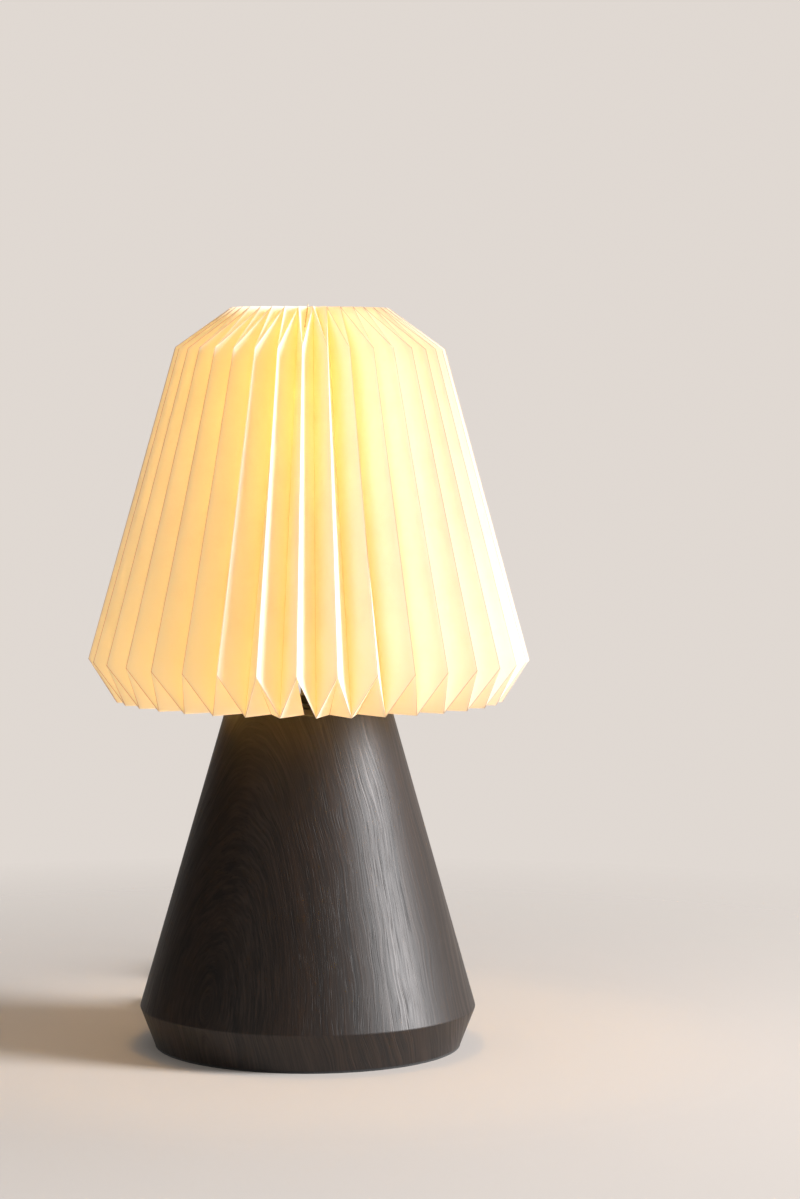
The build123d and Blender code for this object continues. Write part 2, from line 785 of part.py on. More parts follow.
with BuildPart() as switch_lower:
    add(lower_shell)
    with BuildSketch(Plane((switch_x, switch_y, switch_bottom + switch_wall))):
        Rectangle(window_length, switch_width - 2 * switch_wall)
    extrude(amount=switch_height, mode=Mode.SUBTRACT)
    with BuildSketch(Plane((switch_x, switch_y, switch_bottom))):
        with GridLocations(screw_spacing, 0, 2, 1):
            Circle(screw_radius + screw_fit)
    extrude(amount=screw_height, mode=Mode.SUBTRACT)
save(switch_lower.part, "switch_lower")

with BuildPart() as switch_upper:
    add(upper_shell)
    with BuildSketch(Plane((switch_x, switch_y, switch_axis_height))):
        Rectangle(window_length, window_width)
    extrude(amount=switch_height, mode=Mode.SUBTRACT)
    with Locations((switch_x, switch_y, rocker_axis_height)):
        Cylinder(pivot_radius + pivot_fit, pivot_length + 2 * pivot_fit, rotation=(90, 0, 0),
                 mode=Mode.SUBTRACT)
save(switch_upper.part, "switch_upper")

for number, offset_x in enumerate((-screw_spacing / 2, screw_spacing / 2), start=1):
    with BuildPart() as screw:
        with BuildSketch(Plane((switch_x + offset_x, switch_y, switch_bottom + switch_wall / 2))):
            Circle(screw_radius)
        extrude(amount=screw_height - switch_wall / 2)
        with BuildSketch(Plane((switch_x + offset_x, switch_y, switch_bottom + switch_wall / 2))):
            Rectangle(3 * screw_radius, screw_slot)
        extrude(amount=screw_slot, mode=Mode.SUBTRACT)
    save(screw.part, f"switch_screw_{number}")

with BuildPart() as switch_rocker:
    with BuildSketch(Plane(origin=(switch_x, switch_y + rocker_width / 2, pivot_height),
                           x_dir=(1, 0, 0), z_dir=(0, -1, 0))):
        with BuildLine():
            half_length = rocker_length / 2
            Polyline((half_length, rocker_height), (half_length, rocker_height / 2),
                     (half_length / 2, 0), (-half_length / 2, 0),
                     (-half_length, rocker_height / 2), (-half_length, rocker_height))
            ThreePointArc((-half_length, rocker_height), (0, rocker_height - rocker_dip),
                          (half_length, rocker_height))
        make_face()
    extrude(amount=rocker_width)
    with Locations((switch_x, switch_y, rocker_axis_height)):
        Cylinder(pivot_radius, pivot_length, rotation=(90, 0, 0))
rocker_axis = Axis((switch_x, switch_y, rocker_axis_height), (0, 1, 0))
save(switch_rocker.part.rotate(rocker_axis, rocker_tilt), "switch_rocker")

# ---------------------------------------------------------------- plug

plug_body_start = plug_start_y - plug_sleeve_length
plug_front = plug_body_start - plug_length

with BuildPart() as plug_body:
    with BuildSketch(Plane.XY.offset(plug_axis_height - plug_thickness / 2)):
        with BuildLine():
            Polyline(
                (plug_x - plug_nose_width / 2, plug_body_start),
                (plug_x - plug_width / 2, plug_body_start - plug_shoulder),
                (plug_x - plug_width / 2, plug_front + plug_shoulder),
                (plug_x - plug_nose_width / 2, plug_front),
                (plug_x + plug_nose_width / 2, plug_front),
                (plug_x + plug_width / 2, plug_front + plug_shoulder),
                (plug_x + plug_width / 2, plug_body_start - plug_shoulder),
                (plug_x + plug_nose_width / 2, plug_body_start),
                close=True,
            )
        make_face()
    extrude(amount=plug_thickness)
    fillet(plug_body.edges().filter_by(Axis.Z), radius=plug_edge_round)
    fillet(plug_body.edges().group_by(Axis.Z)[0], radius=plug_edge_round)
    fillet(plug_body.edges().group_by(Axis.Z)[-1], radius=plug_edge_round)
    with BuildSketch(Plane.XY.offset(plug_axis_height)):
        with BuildLine():
            Polyline(
                (plug_x, plug_start_y),
                (plug_x + plug_sleeve_tip_radius, plug_start_y),
                (plug_x + plug_sleeve_root_radius, plug_body_start),
                (plug_x + plug_sleeve_root_radius, plug_body_start - plug_shoulder),
                (plug_x, plug_body_start - plug_shoulder),
                close=True,
            )
        make_face()
    revolve(axis=Axis((plug_x, plug_start_y, plug_axis_height), (0, -1, 0)))
    with BuildSketch(Plane(origin=(plug_x, plug_front, plug_axis_height), x_dir=(1, 0, 0),
                           z_dir=(0, 1, 0))):
        with GridLocations(pin_spacing, 0, 2, 1):
            Circle(pin_root_radius)
    extrude(amount=pin_root, mode=Mode.SUBTRACT)
plug_hinge = Axis((plug_x, plug_start_y, 0), (0, 0, 1))
save(plug_body.part.rotate(plug_hinge, -plug_turn), "plug_body")

for number, offset_x in enumerate((-pin_spacing / 2, pin_spacing / 2), start=1):
    with BuildPart() as plug_pin:
        with BuildSketch(Plane(origin=(plug_x + offset_x, plug_front, plug_axis_height), z_dir=(0, -1, 0))):
            Circle(pin_radius)
        extrude(amount=pin_length)
        fillet(plug_pin.edges().group_by(Axis.Y)[0], radius=pin_radius / 2)
        with BuildSketch(Plane(origin=(plug_x + offset_x, plug_front, plug_axis_height), z_dir=(0, 1, 0))):
            Circle(pin_root_radius)
        extrude(amount=pin_root)
    save(plug_pin.part.rotate(plug_hinge, -plug_turn), f"plug_pin_{number}")
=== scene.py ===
"""A pleated paper table lamp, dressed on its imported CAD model. Metres, +Z up, the front faces -Y."""

import math
import random

import bmesh
import bpy
from mathutils import Matrix, Vector


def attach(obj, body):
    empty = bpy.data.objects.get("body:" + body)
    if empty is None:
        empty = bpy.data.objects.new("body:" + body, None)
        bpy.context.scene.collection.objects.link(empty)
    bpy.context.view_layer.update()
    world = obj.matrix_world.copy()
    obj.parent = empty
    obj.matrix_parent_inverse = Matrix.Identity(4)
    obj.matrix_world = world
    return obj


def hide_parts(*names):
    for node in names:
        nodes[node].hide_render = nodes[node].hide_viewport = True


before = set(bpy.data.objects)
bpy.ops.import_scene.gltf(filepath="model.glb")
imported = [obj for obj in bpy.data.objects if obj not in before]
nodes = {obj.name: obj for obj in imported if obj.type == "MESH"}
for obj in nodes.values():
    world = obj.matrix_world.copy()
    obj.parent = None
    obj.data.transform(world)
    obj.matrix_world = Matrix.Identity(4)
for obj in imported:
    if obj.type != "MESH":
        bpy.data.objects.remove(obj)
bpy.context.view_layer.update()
scene = bpy.context.scene
MM = 0.001
draw = random.Random(36)


def new_object(name, data):
    made = bpy.data.objects.new(name, data)
    scene.collection.objects.link(made)
    return made


# ---------------------------------------------------------------- camera

# Fitted to the ellipses of the base and of the shade's folds. The azimuth is counted from the front,
# towards +X; the heading is the camera's own turn from +Y.
CAMERA_LENS = 101.7
CAMERA_DISTANCE = 2.033
CAMERA_HEIGHT = 0.404
CAMERA_AZIMUTH = math.radians(3.0)
CAMERA_HEADING = math.radians(1.46)
CAMERA_PITCH = math.radians(3.784)
CAMERA_ROLL = math.radians(0.26)

camera_data = bpy.data.cameras.new("camera")
camera_data.lens = CAMERA_LENS
camera = new_object("camera", camera_data)
scene.camera = camera
forward = Vector((-math.sin(CAMERA_HEADING) * math.cos(CAMERA_PITCH),
                  math.cos(CAMERA_HEADING) * math.cos(CAMERA_PITCH), -math.sin(CAMERA_PITCH)))
level_right = forward.cross(Vector((0, 0, 1))).normalized()
level_up = level_right.cross(forward)
right = level_right * math.cos(CAMERA_ROLL) + level_up * math.sin(CAMERA_ROLL)
up = right.cross(forward)
eye = Vector((CAMERA_DISTANCE * math.sin(CAMERA_AZIMUTH),
              -CAMERA_DISTANCE * math.cos(CAMERA_AZIMUTH), CAMERA_HEIGHT))
camera.matrix_world = Matrix.Translation(eye) @ Matrix((right, up, -forward)).transposed().to_4x4()

# ---------------------------------------------------------------- cords

# Millimetres. The cord comes out of the gland at the back, rests on the surface and runs through the
# switch to the coil and on to the plug.
CORD_RADIUS = 3.0
CORD_ROUND_STEPS = 5
CORD_STEPS_PER_POINT = 8
COIL_CENTRE = (-52.0, 242.0)
COIL_OUTER = 44.0
COIL_PITCH = 7.8
COIL_INWARD_TURNS = 3.0
COIL_TURNS = 6.0
COIL_LAYERS = (4.25, 11.05)
COIL_POINTS_PER_TURN = 16
CLIMB_TURNS = 0.5
GLAND_TO_SWITCH = (
    (0, 127, 12), (0, 150, 12), (8, 176, 6), (28, 198, 3.05), (54, 212, 3.05), (76, 230, 3.05),
    (82, 256, 3.05), (75.5, 280, 3.05), (58.5, 297, 4.5), (36.5, 305, 9), (14.5, 305, 9),
)
SWITCH_TO_COIL = (
    (-45.5, 305, 9), (-65.5, 305, 9), (-85, 295, 6), (-96, 276, 4.25), (-96, 248, 4.25),
)
COIL_TO_PLUG = (
    (-92.1, 236, 11.05), (-92.1, 216, 11.05), (-86.2, 202.2, 8.6), (-75.4, 191.8, 6),
    (-69.6, 179.1, 5.2), (-68.774, 165.115, 7), (-73.1, 151.8, 7),
)


def cord_curve(name, points):
    """Tube of the cord's thickness along one smooth spline. The bevel is one metre and each point's
    radius scales it down, so that the curve's bounding box is that of the tube."""
    data = bpy.data.curves.new(name, "CURVE")
    data.dimensions = "3D"
    data.bevel_depth = 1.0
    data.bevel_resolution = CORD_ROUND_STEPS
    data.resolution_u = CORD_STEPS_PER_POINT
    data.use_fill_caps = True
    spline = data.splines.new("NURBS")
    spline.points.add(len(points) - 1)
    for target, point in zip(spline.points, points):
        target.co = (*(value * MM for value in point), 1.0)
        target.radius = CORD_RADIUS * MM
    spline.order_u = 3
    spline.use_endpoint_u = True
    return new_object(name, data)


def coil_points():
    """Turns inwards on the surface, a climb of half a turn, then turns outwards on top of them. The
    points lie a little outside the coil, because the spline runs inside its control points."""
    outwards = 1 / math.cos(math.pi / COIL_POINTS_PER_TURN)
    inner_radius = COIL_OUTER - COIL_INWARD_TURNS * COIL_PITCH
    points = []
    for index in range(1, int(COIL_TURNS * COIL_POINTS_PER_TURN)):
        turns = index / COIL_POINTS_PER_TURN
        if turns < COIL_INWARD_TURNS:
            radius = COIL_OUTER - turns * COIL_PITCH
        else:
            radius = inner_radius + max(0.0, turns - COIL_INWARD_TURNS - CLIMB_TURNS) * COIL_PITCH
        climb = min(1.0, max(0.0, (turns - COIL_INWARD_TURNS) / CLIMB_TURNS))
        angle = math.pi + math.tau * turns
        points.append((COIL_CENTRE[0] + outwards * radius * math.cos(angle),
                       COIL_CENTRE[1] + outwards * radius * math.sin(angle),
                       COIL_LAYERS[0] + climb * (COIL_LAYERS[1] - COIL_LAYERS[0])))
    return points


lead = cord_curve("lead_to_switch", GLAND_TO_SWITCH)
coiled_lead = cord_curve("coiled_lead", [*SWITCH_TO_COIL, *coil_points(), *COIL_TO_PLUG])
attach(lead, "lamp")
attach(coiled_lead, "lamp")
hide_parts("mains_cord")
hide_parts("switch_cord", "cord_coil", "plug_cord")

# ---------------------------------------------------------------- node trees


def add(tree, kind, inputs=None, **settings):
    """New shader node; an input's value is a number, a colour or another node's output."""
    node = tree.nodes.new("ShaderNode" + kind)
    for key, value in settings.items():
        setattr(node, key, value)
    for key, value in (inputs or {}).items():
        if isinstance(value, bpy.types.NodeSocket):
            tree.links.new(value, node.inputs[key])
        else:
            node.inputs[key].default_value = value
    return node


def compute(tree, operation, *values):
    return add(tree, "Math", dict(enumerate(values)), operation=operation).outputs[0]


def compute_vector(tree, operation, *values, scale=None):
    """Vector Math node's result, which is a number for a length or a dot product."""
    inputs = dict(enumerate(values))
    if scale is not None:
        inputs["Scale"] = scale
    node = add(tree, "VectorMath", inputs, operation=operation)
    return node.outputs["Value" if operation in ("DOT_PRODUCT", "LENGTH") else "Vector"]


def height_of(tree, vector):
    return add(tree, "SeparateXYZ", {0: vector}).outputs[2]


def mix_colours(tree, share, first, second):
    """Mix node's colour output; 6 and 7 are its two colour inputs and 2 is its colour output."""
    node = add(tree, "Mix", {0: share}, data_type="RGBA")
    for key, value in ((6, first), (7, second)):
        if isinstance(value, bpy.types.NodeSocket):
            tree.links.new(value, node.inputs[key])
        else:
            node.inputs[key].default_value = (*value, 1.0)
    return node.outputs[2]


def place(tree, stretch=(1, 1, 1)):
    """The object's own coordinates in metres, each multiplied by its stretch."""
    source = add(tree, "TexCoord").outputs["Object"]
    return add(tree, "Mapping", {"Vector": source, "Scale": stretch}).outputs[0]


def noise(tree, vector, scale, detail=2.0, roughness=0.5):
    return add(tree, "TexNoise", {"Vector": vector, "Scale": scale, "Detail": detail,
                                  "Roughness": roughness}).outputs["Fac"]


def spread(tree, value, low, high, to_low=0.0, to_high=1.0):
    """Map Range node's result: low to high becomes to_low to to_high, held at both ends."""
    return add(tree, "MapRange", {"Value": value, "From Min": low, "From Max": high,
                                  "To Min": to_low, "To Max": to_high}).outputs["Result"]


def relief(tree, height, depth):
    """Bump normal; the depth is in metres."""
    return add(tree, "Bump", {"Height": height, "Strength": 1.0, "Distance": depth}).outputs["Normal"]


def new_material(name):
    material = bpy.data.materials.new(name)
    material.use_nodes = True
    material.node_tree.nodes.clear()
    return material, material.node_tree


def finish_material(tree, shader):
    add(tree, "OutputMaterial", {"Surface": shader})


# A noise texture rarely leaves this range, so it is spread over the whole of what it steers
NOISE_RANGE = (0.3, 0.7)
GRAIN_ROUGHNESS = 0.03


def surface(name, dark, light, roughness, patch_scale, grain_scale, grain_depth, **sockets):
    """Principled material with patchy colour and roughness and a fine relief. roughness is that of the
    dark and of the light patches, the scales are per metre and the depth is in metres."""
    material, tree = new_material(name)
    where = place(tree)
    patches = spread(tree, noise(tree, where, patch_scale, 3.0), *NOISE_RANGE)
    grain = noise(tree, where, grain_scale, 2.0)
    colour = mix_colours(tree, patches, dark, light)
    rough = compute(tree, "ADD", spread(tree, patches, 0, 1, *roughness),
                    spread(tree, grain, *NOISE_RANGE, -GRAIN_ROUGHNESS, GRAIN_ROUGHNESS))
    inputs = {"Base Color": colour, "Roughness": rough, "Normal": relief(tree, grain, grain_depth)}
    inputs.update({key.replace("_", " "): value for key, value in sockets.items()})
    finish_material(tree, add(tree, "BsdfPrincipled", inputs).outputs[0])
    return material


# ---------------------------------------------------------------- measures of shade and bulb

# Metres above the surface
BULB_HEIGHT = 0.336
BULB_NECK, BULB_MIDDLE = 0.312, 0.345
# Heights over which the painted shade on the thread's knot gives way to its clear colour
KNOT_SHADE_TOP = (0.4326, 0.4330)

# The shade as in the solids, in millimetres; SHOULDER and CORNER are radius and height
PLEATS = 36
PANELS = 12
HALF_STEP = 180 / PLEATS
PAPER_THICKNESS = 0.4
RIM_TOP, RIM_BOTTOM = 444.2, 209.2
SHOULDER = (80.8, 419.8)
CORNER = (132.7, 234.2)
RIM_TOP_RADIUS, RIM_BOTTOM_RADIUS = 47.2, 116.8
TUCK_TOP_RADIUS, TUCK_BOTTOM_RADIUS = 25.0, 94.5
SLIT_SHIFTS = {-1: 2.4, 1: 8.2}
HOLE_RADIUS = 1.0
HOLE_SHARE = 0.488

# How the sheet is divided, in shares of a facet: close together at its folds, where a narrow line of
# painted shade runs along the fold
ACROSS = (0.0, 0.022, 0.09, 0.24, 0.42, 0.58, 0.76, 0.91, 0.978, 1.0)
DOWN_ROWS = 22
DOWN = (0.0, 0.004, *(row / DOWN_ROWS for row in range(1, DOWN_ROWS)), 0.996, 1.0)
TUCK_ACROSS = (0.0, 0.03, 0.12, 0.3, 0.5, 0.7, 0.88, 0.97, 1.0)

# How far the hand-folded sheet is out of true, in millimetres, and the shares of it that its valley
# ends and tuck ends show
OUT_OF_TRUE = (0.5, 0.35, 0.5)
VALLEY_SHARE, TUCK_SHARE = 0.5, 0.8
FACET_BULGE = 0.55
BULGE_SHARES = (-0.3, 1.0)
# Share of the painted crease shade that a valley fold gets
VALLEY_CREASE_SHADE = 0.3

# Sharpness of the mesh
WELD_DISTANCE = 0.00002
SHORTEST_EDGE = 0.000001
CREASE_ANGLE = math.radians(20)
PUNCH_DEPTH = 4.0
PUNCH_SIDES = 16

# ---------------------------------------------------------------- materials

def tint(tree, share, strength, colour, towards):
    """The colour moved towards another one, by at most the strength."""
    return mix_colours(tree, compute(tree, "MULTIPLY", share, strength), colour, towards)


# A point of the wood's pith and the direction it grew in, in metres. The pith slants and leaves the cone
# at the front left.
PITH = (-0.055, -0.080, 0.036)
GROWTH = (-0.1226, -0.1694, 0.978)
PITH_WIDTH = 0.03
RING_WAVER = 0.007
WOOD_DARK, WOOD_LIGHT = (0.0028, 0.0012, 0.0006), (0.0180, 0.0092, 0.0052)
WOOD_STREAK, WOOD_SHADE = (0.042, 0.0245, 0.0165), (0.0035, 0.0018, 0.0011)
WOOD_PORE = (0.002, 0.0014, 0.0012)
WOOD_ROUGHNESS = (0.50, 0.41)
PORE_ROUGHNESS = 0.14
WOOD_RELIEF = 0.00004


def wood_material():
    """Dark stained wood. Its rings run round the pith, so they show as tall arcs at the front left and
    as steep lines elsewhere; fine streaks and pores follow them."""
    material, tree = new_material("dark_wood")
    where = place(tree)
    from_pith = compute_vector(tree, "SUBTRACT", where, PITH)
    along = compute_vector(tree, "DOT_PRODUCT", from_pith, GROWTH)
    on_axis = compute_vector(tree, "SCALE", GROWTH, scale=along)
    radial = compute_vector(tree, "SUBTRACT", from_pith, on_axis)
    waver = spread(tree, noise(tree, place(tree, (1, 1, 0.4)), 14.0, 3.0), 0.2, 0.8,
                   -RING_WAVER, RING_WAVER)
    radius = compute(tree, "ADD", compute_vector(tree, "LENGTH", radial), waver)
    direction = compute_vector(tree, "SCALE", compute_vector(tree, "NORMALIZE", radial),
                               scale=spread(tree, radius, 0.0, PITH_WIDTH))

    def ring_noise(per_metre, round_pith, along_pith, detail):
        """Noise drawn out along the rings: many changes per metre across them, few round the pith."""
        drift = compute_vector(tree, "SCALE", GROWTH,
                               scale=compute(tree, "MULTIPLY", along, along_pith))
        turned = compute_vector(tree, "SCALE", direction, scale=round_pith)
        across = compute(tree, "MULTIPLY", radius, per_metre)
        return add(tree, "TexNoise", {
            "Vector": compute_vector(tree, "ADD", turned, drift), "W": across,
            "Scale": 1.0, "Detail": detail,
        }, noise_dimensions="4D").outputs["Fac"]

    rings = spread(tree, ring_noise(150.0, 0.8, 2.0, 3.0), 0.34, 0.66)
    streaks = spread(tree, ring_noise(950.0, 5.0, 5.0, 2.0), 0.42, 0.68)
    pores = spread(tree, ring_noise(2200.0, 14.0, 18.0, 1.0), 0.58, 0.72)
    tone = spread(tree, noise(tree, where, 11.0, 2.0), *NOISE_RANGE)
    colour = mix_colours(tree, rings, WOOD_DARK, WOOD_LIGHT)
    colour = tint(tree, streaks, 0.6, colour, WOOD_STREAK)
    colour = tint(tree, tone, 0.35, colour, WOOD_SHADE)
    colour = tint(tree, pores, 0.6, colour, WOOD_PORE)
    rough = compute(tree, "ADD", spread(tree, streaks, 0, 1, *WOOD_ROUGHNESS),
                    compute(tree, "MULTIPLY", pores, PORE_ROUGHNESS))
    height = compute(tree, "SUBTRACT", compute(tree, "MULTIPLY", streaks, 0.7), pores)
    finish_material(tree, add(tree, "BsdfPrincipled", {
        "Base Color": colour, "Roughness": rough, "Normal": relief(tree, height, WOOD_RELIEF),
        "Specular IOR Level": 0.5,
    }).outputs[0])
    return material


# The paper by reflected light and by light that comes through it; the fold colours are painted shade
# along the creases and the edge colour is a painted highlight on the cut edges
PAPER_DARK, PAPER_LIGHT = (0.84, 0.83, 0.81), (0.90, 0.89, 0.87)
PAPER_TOOTH, PAPER_CREASE_SHADE, PAPER_EDGE_HIGHLIGHT = (0.92, 0.90, 0.86), (0.34, 0.26, 0.23), (0.93, 0.92, 0.90)
THROUGH_DARK, THROUGH_LIGHT = (0.95, 0.90, 0.81), (0.99, 0.95, 0.87)
THROUGH_TOOTH, THROUGH_CREASE_SHADE = (1.0, 0.97, 0.90), (0.26, 0.19, 0.16)
PAPER_RELIEF = 0.00004
SEE_THROUGH = 0.30

# Painted glow: the paper's emission stands in for light that bounces about inside the shade. Beside the
# bulb, where its direct light is strong, less of it is painted; the distances are heights above or below
# the bulb, in metres.
PAINTED_GLOW_COLOUR, GLOW_CREASE_SHADE = (1.0, 0.55, 0.06), (0.22, 0.12, 0.06)
PAINTED_GLOW_STRENGTH = 0.46
GLOW_DISTANCES = (0.02, 0.10)
GLOW_SHARES = (0.50, 0.75)


def paper_material():
    """Off-white paper that lets warm light through, with painted shade along its folds, a painted
    highlight on its cut edges and a painted glow.
    """
    material, tree = new_material("shade_paper")
    where = place(tree)
    clouds = spread(tree, noise(tree, where, 60.0, 4.0, 0.6), *NOISE_RANGE)
    fibres = noise(tree, place(tree, (1, 1, 0.3)), 1500.0, 3.0, 0.6)
    # fold is the share of painted crease shade, edge the share of painted highlight on cut edges
    fold = add(tree, "Attribute", attribute_name="fold").outputs["Fac"]
    edge = add(tree, "Attribute", attribute_name="edge").outputs["Fac"]
    tooth = spread(tree, fibres, 0.35, 0.65)
    front = mix_colours(tree, clouds, PAPER_DARK, PAPER_LIGHT)
    front = tint(tree, tooth, 0.25, front, PAPER_TOOTH)
    front = tint(tree, fold, 0.7, front, PAPER_CREASE_SHADE)
    front = tint(tree, edge, 0.8, front, PAPER_EDGE_HIGHLIGHT)
    through = mix_colours(tree, clouds, THROUGH_DARK, THROUGH_LIGHT)
    through = tint(tree, tooth, 0.15, through, THROUGH_TOOTH)
    through = tint(tree, fold, 0.75, through, THROUGH_CREASE_SHADE)
    normal = relief(tree, fibres, PAPER_RELIEF)
    # Painted glow, weaker at the bulb's height and darker along the folds
    above_bulb = compute(tree, "SUBTRACT", height_of(tree, where), BULB_HEIGHT)
    from_bulb = compute(tree, "ABSOLUTE", above_bulb)
    painted_glow_share = spread(tree, from_bulb, *GLOW_DISTANCES, *GLOW_SHARES)
    painted_glow = mix_colours(tree, painted_glow_share, (0.0, 0.0, 0.0), PAINTED_GLOW_COLOUR)
    painted_glow = tint(tree, fold, 0.8, painted_glow, GLOW_CREASE_SHADE)
    opaque = add(tree, "BsdfPrincipled", {
        "Base Color": front, "Roughness": 0.72, "Specular IOR Level": 0.2, "Normal": normal,
        "Emission Color": painted_glow, "Emission Strength": PAINTED_GLOW_STRENGTH,
    }).outputs[0]
    lit_through = add(tree, "BsdfTranslucent", {"Color": through, "Normal": normal}).outputs[0]
    paper = add(tree, "MixShader", {0: SEE_THROUGH, 1: opaque, 2: lit_through}).outputs[0]
    finish_material(tree, paper)
    return material


BULB_DIM, BULB_BRIGHT = (0.6, 0.33, 0.10), (1.0, 0.62, 0.22)
BULB_GLARE = 12.0


def opal_material():
    """Lit opal cover of the bulb, a little brighter in its middle than at its neck."""
    material, tree = new_material("bulb_opal")
    where = place(tree)
    grain = noise(tree, where, 400.0, 2.0)
    share = compute(tree, "MULTIPLY",
                    spread(tree, height_of(tree, where), BULB_NECK, BULB_MIDDLE, 0.7, 1.0),
                    spread(tree, grain, *NOISE_RANGE, 0.97, 1.0))
    finish_material(tree, add(tree, "BsdfPrincipled", {
        "Base Color": (0.98, 0.9, 0.72, 1.0), "Roughness": 0.35,
        "Emission Color": mix_colours(tree, share, BULB_DIM, BULB_BRIGHT),
        "Emission Strength": BULB_GLARE,
    }).outputs[0])
    return material


def screw_lines(material, turns_per_metre, depth):
    """Adds the turns of a screw thread to a material's relief, along the object's height."""
    tree = material.node_tree
    shader = next(node for node in tree.nodes if node.type == "BSDF_PRINCIPLED")
    height = height_of(tree, place(tree))
    wave = compute(tree, "SINE", compute(tree, "MULTIPLY", height, math.tau * turns_per_metre))
    before = shader.inputs["Normal"].links[0].from_socket
    bump = add(tree, "Bump", {"Height": wave, "Strength": 1.0, "Distance": depth, "Normal": before})
    tree.links.new(bump.outputs["Normal"], shader.inputs["Normal"])
    return material


THREAD_DARK, THREAD_LIGHT = (0.70, 0.58, 0.36), (0.86, 0.76, 0.55)
# Painted shade where the knot sits in the hole
KNOT_PAINTED_SHADE = (0.035, 0.026, 0.008)


def thread_material():
    """Clear thread, which takes the paper's colour, with painted shade on its knot in the hole."""
    material, tree = new_material("clear_thread")
    where = place(tree)
    grain = noise(tree, where, 900.0, 2.0)
    clear = mix_colours(tree, grain, THREAD_DARK, THREAD_LIGHT)
    colour = mix_colours(tree, spread(tree, height_of(tree, where), *KNOT_SHADE_TOP), KNOT_PAINTED_SHADE, clear)
    finish_material(tree, add(tree, "BsdfPrincipled", {
        "Base Color": colour, "Roughness": spread(tree, grain, *NOISE_RANGE, 0.2, 0.32),
        "Normal": relief(tree, grain, 0.00001),
    }).outputs[0])
    return material


WOOD = wood_material()
PAPER = paper_material()
OPAL = opal_material()
FELT = surface("felt", (0.010, 0.010, 0.010), (0.028, 0.027, 0.027), (0.9, 0.97), 500, 2600, 0.0003,
               Sheen_Weight=0.3)
STEEL = surface("steel", (0.42, 0.42, 0.43), (0.60, 0.60, 0.61), (0.28, 0.42), 120, 1800, 0.00002,
                Metallic=1.0)
# A darker copy of the steel, as painted shade on the upper nut and the cover under the shade
SHADED_STEEL = surface("shaded_steel", (0.035, 0.032, 0.030), (0.060, 0.056, 0.052), (0.38, 0.5), 120, 1800,
                     0.00002, Metallic=1.0)
STEM_STEEL = surface("stem_steel", (0.20, 0.19, 0.18), (0.34, 0.33, 0.31), (0.35, 0.5), 200, 1800,
                     0.00002, Metallic=1.0)
STEM_STEEL = screw_lines(STEM_STEEL, turns_per_metre=1000, depth=0.0003)
HOLDER = surface("holder_plastic", (0.012, 0.012, 0.012), (0.024, 0.023, 0.023), (0.38, 0.5), 60, 3500,
                 0.00003)
PORCELAIN = surface("porcelain", (0.72, 0.70, 0.65), (0.84, 0.83, 0.79), (0.3, 0.45), 150, 1500, 0.00003)
BRASS = surface("brass", (0.62, 0.44, 0.18), (0.80, 0.61, 0.29), (0.25, 0.4), 150, 1500, 0.00002,
                Metallic=1.0)
CARRIER = surface("carrier_wire", (0.70, 0.69, 0.66), (0.80, 0.79, 0.76), (0.42, 0.55), 150, 2500,
                  0.00004)
NYLON = thread_material()
BULB_METAL = surface("bulb_metal", (0.55, 0.55, 0.56), (0.72, 0.72, 0.73), (0.2, 0.34), 150, 1500,
                     0.00002, Metallic=1.0)
BULB_BLACK = surface("bulb_black", (0.012, 0.012, 0.012), (0.022, 0.022, 0.022), (0.15, 0.25), 150, 1500,
                     0.00002)
BULB_WHITE = surface("bulb_white", (0.74, 0.74, 0.71), (0.83, 0.83, 0.81), (0.4, 0.5), 60, 3000, 0.00003)
SHEATH = surface("cord_sheath", (0.016, 0.016, 0.017), (0.030, 0.030, 0.031), (0.42, 0.56), 90, 2600,
                 0.00005)
MOULDED = surface("cord_plastic", (0.014, 0.014, 0.015), (0.026, 0.026, 0.027), (0.40, 0.52), 60, 3800,
                  0.00005)
ROCKER = surface("rocker_plastic", (0.045, 0.045, 0.048), (0.066, 0.066, 0.070), (0.26, 0.36), 80, 3000,
                 0.00002)
PINS = surface("pin_metal", (0.58, 0.56, 0.50), (0.76, 0.74, 0.68), (0.18, 0.3), 150, 1500, 0.00002,
               Metallic=1.0)

for material, names in (
    (WOOD, ("base_body",)),
    (FELT, ("foot_pad",)),
    (STEEL, ("stem_washer", "stem_nut_lower", "switch_screw_1", "switch_screw_2")),
    (STEM_STEEL, ("stem_tube",)),
    (SHADED_STEEL, ("stem_nut_upper", "stem_cover")),
    (HOLDER, ("holder_cap", "holder_skirt", "shade_ring_lower", "shade_ring_clamp")),
    (PORCELAIN, ("holder_core",)),
    (BRASS, ("holder_shell", "holder_contact", "terminal_screw_1", "terminal_screw_2")),
    (CARRIER, ("carrier_collar", "carrier_top_ring", "carrier_arm_1", "carrier_arm_2",
               "carrier_arm_3")),
    (NYLON, ("gathering_thread",)),
    (BULB_METAL, ("bulb_contact", "bulb_cap", "bulb_board")),
    (BULB_BLACK, ("bulb_insulator",)),
    (BULB_WHITE, ("bulb_housing",)),
    (OPAL, ("bulb_globe",)),
    (SHEATH, ("inner_cord",)),
    (MOULDED, ("cord_stop", "cord_gland", "cord_tie", "switch_lower", "switch_upper", "plug_body")),
    (ROCKER, ("switch_rocker",)),
    (PINS, ("plug_pin_1", "plug_pin_2")),
):
    for name in names:
        nodes[name].data.materials.clear()
        nodes[name].data.materials.append(material)
for cord in (lead, coiled_lead):
    cord.data.materials.append(SHEATH)

# ---------------------------------------------------------------- pleated shade

OUT = Vector((0, -1, 0))
UP, DOWNWARDS = Vector((0, 0, 1)), Vector((0, 0, -1))


